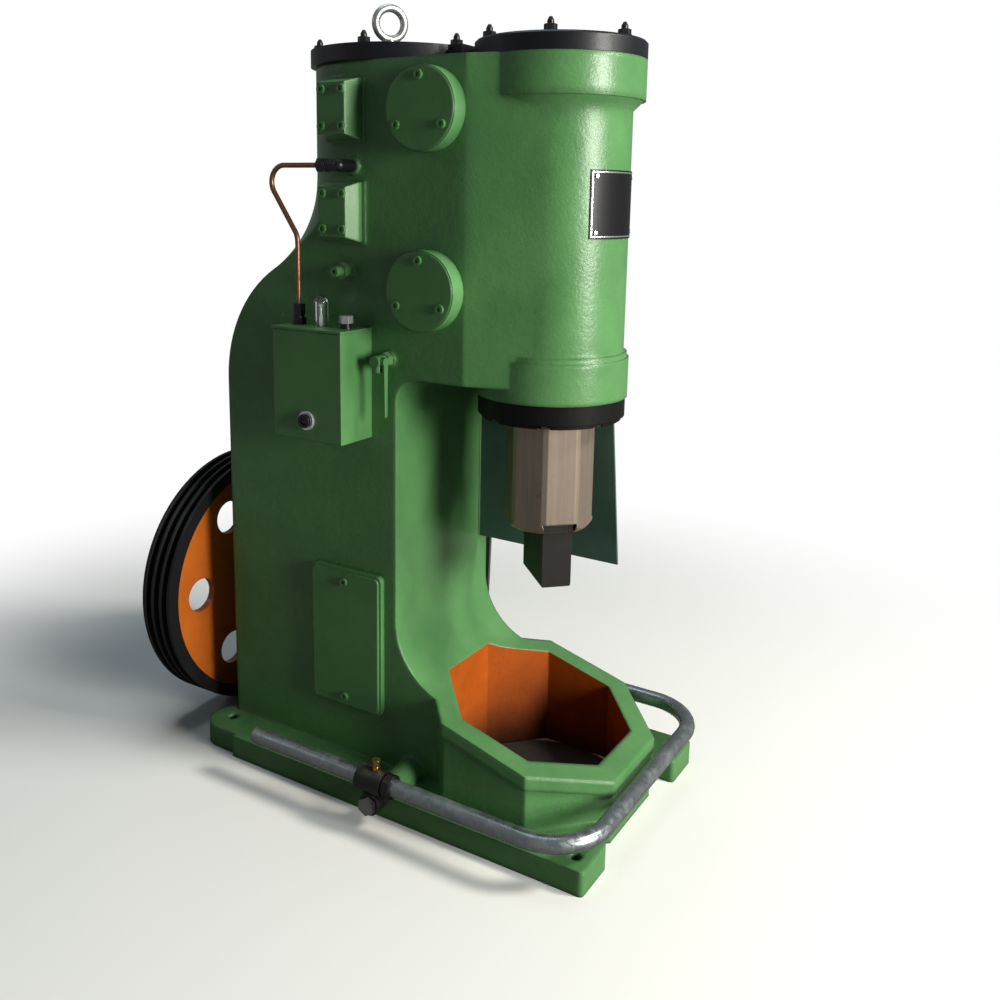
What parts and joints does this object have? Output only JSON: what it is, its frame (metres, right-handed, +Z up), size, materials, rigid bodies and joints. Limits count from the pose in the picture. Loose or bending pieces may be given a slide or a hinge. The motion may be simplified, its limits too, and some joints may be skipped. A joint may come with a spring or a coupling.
{
  "type": "pneumatic power hammer",
  "caption": "Floor-standing pneumatic power hammer: one-piece cast frame with two cylinders, sliding ram and die, crank drive with belt pulley, side lubricator and foot treadle.",
  "frame": {"origin": "on the ram centreline at the level of the underside of the base", "axes": "+Z up; the ram side faces -Y and the belt pulley is at the +Y end; the lubricator side faces -X"},
  "size_m": [0.531, 0.9165, 1.285],
  "materials": {
    "green_enamel": "gloss enamel over cast iron",
    "black_gloss": "gloss black enamel",
    "dark_green": "gloss dark green enamel",
    "zinc_steel": "galvanised, lightly weathered",
    "clear_glass": "clear moulded dome",
    "bronze": "turned bronze",
    "brass": "turned brass",
    "plated_bronze": "dull plated bronze",
    "chrome": "polished",
    "copper": "drawn copper tube, slightly tarnished",
    "ram_steel": "ground steel with an oily brown film",
    "die_steel": "dark forged steel",
    "orange_enamel": "gloss orange enamel with a black rim",
    "machined_steel": "machined steel",
    "grey_iron": "turned grey iron"
  },
  "bodies": {
    "frame": {"frame_casting": "green_enamel", "working_cover": "black_gloss", "compression_cover": "black_gloss", "cover_studs": "black_gloss", "eye_bolt": "zinc_steel", "upper_valve_cover": "green_enamel", "lower_valve_cover": "green_enamel", "upper_port_cap": "green_enamel", "lower_port_cap": "green_enamel", "inspection_door": "green_enamel", "cap_screws": "green_enamel", "nameplate": "black_gloss", "nameplate_rivets": "zinc_steel", "lubricator_tank": "green_enamel", "lubricator_lid": "green_enamel", "sight_dome": "clear_glass", "filler_plug": "plated_bronze", "level_eye": "chrome", "tank_fitting": "black_gloss", "cylinder_elbow": "black_gloss", "oil_pipe": "copper", "side_plug": "green_enamel", "cock_body": "dark_green", "gland_ring": "black_gloss", "guide_bush": "bronze", "hex_bolts": "zinc_steel", "ram_guard": "dark_green", "bearing_housing": "green_enamel", "rear_bush": "bronze", "front_bush": "bronze"},
    "ram_group": {"ram": "ram_steel", "ram_rings": "grey_iron", "upper_die": "die_steel", "die_wedge": "ram_steel"},
    "crank_group": {"crankshaft": "machined_steel", "pulley": "orange_enamel", "pulley_key": "machined_steel", "pulley_nut": "machined_steel"},
    "rod_group": {"con_rod": "machined_steel", "con_rod_cap": "machined_steel", "con_rod_bolts": "machined_steel", "wrist_pin": "machined_steel"},
    "piston_group": {"compression_piston": "grey_iron", "compression_rings": "grey_iron"},
    "treadle_group": {"treadle_tube": "zinc_steel", "near_bracket": "black_gloss", "far_bracket": "black_gloss", "tube_collars": "black_gloss", "oil_nipples": "brass", "cross_shaft": "machined_steel", "shaft_lever": "machined_steel"},
    "pull_rod_body": {"pull_rod": "machined_steel"},
    "lower_valve_group": {"lower_valve": "machined_steel", "lower_lever": "machined_steel"},
    "upper_valve_group": {"upper_valve": "machined_steel", "upper_lever": "machined_steel"},
    "link_rod_body": {"link_rod": "machined_steel"},
    "cock_lever_body": {"cock_lever": "green_enamel"}
  },
  "joints": [
    {"name": "ram_slide", "type": "slide", "parent": "frame", "child": "ram_group", "axis": [0, 0, 1], "range_m": [-0.155, 0.035]},
    {"name": "pulley_spin", "type": "hinge", "parent": "frame", "child": "crank_group", "pos_m": [0, 0.289, 0.248], "axis": [0, 1, 0], "continuous": true},
    {"name": "con_rod_turn", "type": "hinge", "parent": "crank_group", "child": "rod_group", "pos_m": [0, 0.289, 0.188], "axis": [0, 1, 0], "continuous": true},
    {"name": "compression_slide", "type": "slide", "parent": "frame", "child": "piston_group", "axis": [0, 0, 1], "range_m": [0, 0.12]},
    {"name": "treadle_tilt", "type": "hinge", "parent": "frame", "child": "treadle_group", "pos_m": [0, 0.165, 0.046], "axis": [1, 0, 0], "range_deg": [0, 4], "stiffness_Nm_per_rad": 60, "springref_deg": -6.88},
    {"name": "pull_rod_turn", "type": "hinge", "parent": "treadle_group", "child": "pull_rod_body", "pos_m": [0.164, 0.22, 0.056], "axis": [1, 0, 0], "range_deg": [-4.5, 0]},
    {"name": "lower_valve_turn", "type": "hinge", "parent": "frame", "child": "lower_valve_group", "pos_m": [0, 0.137, 0.84], "axis": [1, 0, 0], "range_deg": [0, 4.5]},
    {"name": "upper_valve_turn", "type": "hinge", "parent": "frame", "child": "upper_valve_group", "pos_m": [0, 0.137, 1.103], "axis": [1, 0, 0], "range_deg": [0, 4.5]},
    {"name": "link_rod_turn", "type": "hinge", "parent": "lower_valve_group", "child": "link_rod_body", "pos_m": [0.17, 0.192, 0.85], "axis": [1, 0, 0], "range_deg": [-4.5, 0]},
    {"name": "cock_lever_turn", "type": "hinge", "parent": "frame", "child": "cock_lever_body", "pos_m": [-0.169, 0.211, 0.729], "axis": [0, 1, 0], "range_deg": [0, 90]}
  ],
  "couplings": [
    {"joint": "con_rod_turn", "follows": "pulley_spin", "ratio": -1},
    {"joint": "pull_rod_turn", "follows": "treadle_tilt", "ratio": -1},
    {"joint": "lower_valve_turn", "follows": "treadle_tilt", "ratio": 1},
    {"joint": "upper_valve_turn", "follows": "treadle_tilt", "ratio": 1},
    {"joint": "link_rod_turn", "follows": "treadle_tilt", "ratio": -1}
  ]
}
